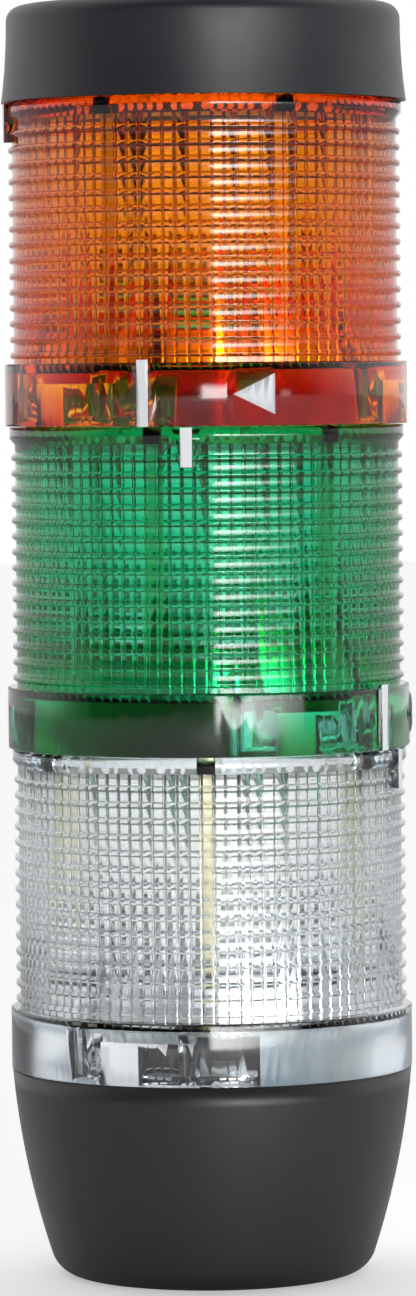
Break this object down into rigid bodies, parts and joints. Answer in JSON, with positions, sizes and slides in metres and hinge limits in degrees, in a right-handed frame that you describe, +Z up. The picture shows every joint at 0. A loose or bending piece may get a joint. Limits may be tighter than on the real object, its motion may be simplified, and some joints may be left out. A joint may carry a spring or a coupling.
{
  "type": "stack light",
  "caption": "Stack light for machines: tapered pole-mount base, clear, green and amber ribbed twist-lock light modules and a black end cap.",
  "frame": {"origin": "centre of the base's flat underside, on the tower's axis", "axes": "+Z up the tower's axis; -Y is the front, +X to the right of someone facing the front"},
  "size_m": [0.0706, 0.0704, 0.2209],
  "materials": {
    "black_polycarbonate": "satin, moulded with a fine spark-eroded grain",
    "amber_polycarbonate": "clear-through amber polycarbonate, glossy",
    "green_polycarbonate": "clear-through green polycarbonate, glossy",
    "clear_polycarbonate": "water-clear polycarbonate, glossy",
    "black_rubber": "moulded nitrile rubber",
    "brass_strip": "rolled brass strip, bright",
    "white_polyamide": "moulded white polyamide",
    "grey_polyamide": "moulded dark grey polyamide",
    "plated_steel": "zinc-plated steel",
    "white_board": "white solder mask on circuit board",
    "amber_led": "silicone-filled LED package",
    "green_led": "silicone-filled LED package",
    "clear_led": "silicone-filled LED package"
  },
  "bodies": {
    "base": {"base_block_screws": "plated_steel", "base_body": "black_polycarbonate", "base_contact_1": "brass_strip", "base_contact_2": "brass_strip", "base_contact_3": "brass_strip", "base_contact_4": "brass_strip", "base_contact_5": "brass_strip", "base_contact_6": "brass_strip", "base_seal": "black_rubber", "base_terminal_block": "grey_polyamide", "base_terminal_plates": "plated_steel", "base_terminal_screws": "plated_steel", "pole_set_screw": "plated_steel"},
    "clear_module": {"clear_board_leads": "brass_strip", "clear_board_screw": "plated_steel", "clear_bus_strip_1": "brass_strip", "clear_bus_strip_2": "brass_strip", "clear_bus_strip_3": "brass_strip", "clear_bus_strip_4": "brass_strip", "clear_bus_strip_5": "brass_strip", "clear_bus_strip_6": "brass_strip", "clear_contact_carrier": "white_polyamide", "clear_contact_ring": "white_polyamide", "clear_led_board": "white_board", "clear_leds": "clear_led", "clear_lens": "clear_polycarbonate", "clear_seal": "black_rubber"},
    "green_module": {"green_board_leads": "brass_strip", "green_board_screw": "plated_steel", "green_bus_strip_1": "brass_strip", "green_bus_strip_2": "brass_strip", "green_bus_strip_3": "brass_strip", "green_bus_strip_4": "brass_strip", "green_bus_strip_5": "brass_strip", "green_bus_strip_6": "brass_strip", "green_contact_carrier": "grey_polyamide", "green_contact_ring": "grey_polyamide", "green_led_board": "white_board", "green_leds": "green_led", "green_lens": "green_polycarbonate", "green_seal": "black_rubber"},
    "amber_module": {"amber_board_leads": "brass_strip", "amber_board_screw": "plated_steel", "amber_bus_strip_1": "brass_strip", "amber_bus_strip_2": "brass_strip", "amber_bus_strip_3": "brass_strip", "amber_bus_strip_4": "brass_strip", "amber_bus_strip_5": "brass_strip", "amber_bus_strip_6": "brass_strip", "amber_contact_carrier": "grey_polyamide", "amber_contact_ring": "grey_polyamide", "amber_led_board": "white_board", "amber_leds": "amber_led", "amber_lens": "amber_polycarbonate", "amber_seal": "black_rubber"},
    "top_cap": {"cap": "black_polycarbonate"}
  },
  "joints": [
    {"name": "clear_twist", "type": "hinge", "parent": "base", "child": "clear_module", "pos_m": [0, 0, 0.0362], "axis": [0, 0, 1], "range_deg": [0, 12]},
    {"name": "green_twist", "type": "hinge", "parent": "clear_module", "child": "green_module", "pos_m": [0, 0, 0.0922], "axis": [0, 0, 1], "range_deg": [0, 12]},
    {"name": "amber_twist", "type": "hinge", "parent": "green_module", "child": "amber_module", "pos_m": [0, 0, 0.1482], "axis": [0, 0, 1], "range_deg": [0, 12]},
    {"name": "cap_twist", "type": "hinge", "parent": "amber_module", "child": "top_cap", "pos_m": [0, 0, 0.2042], "axis": [0, 0, 1], "range_deg": [0, 12]}
  ]
}
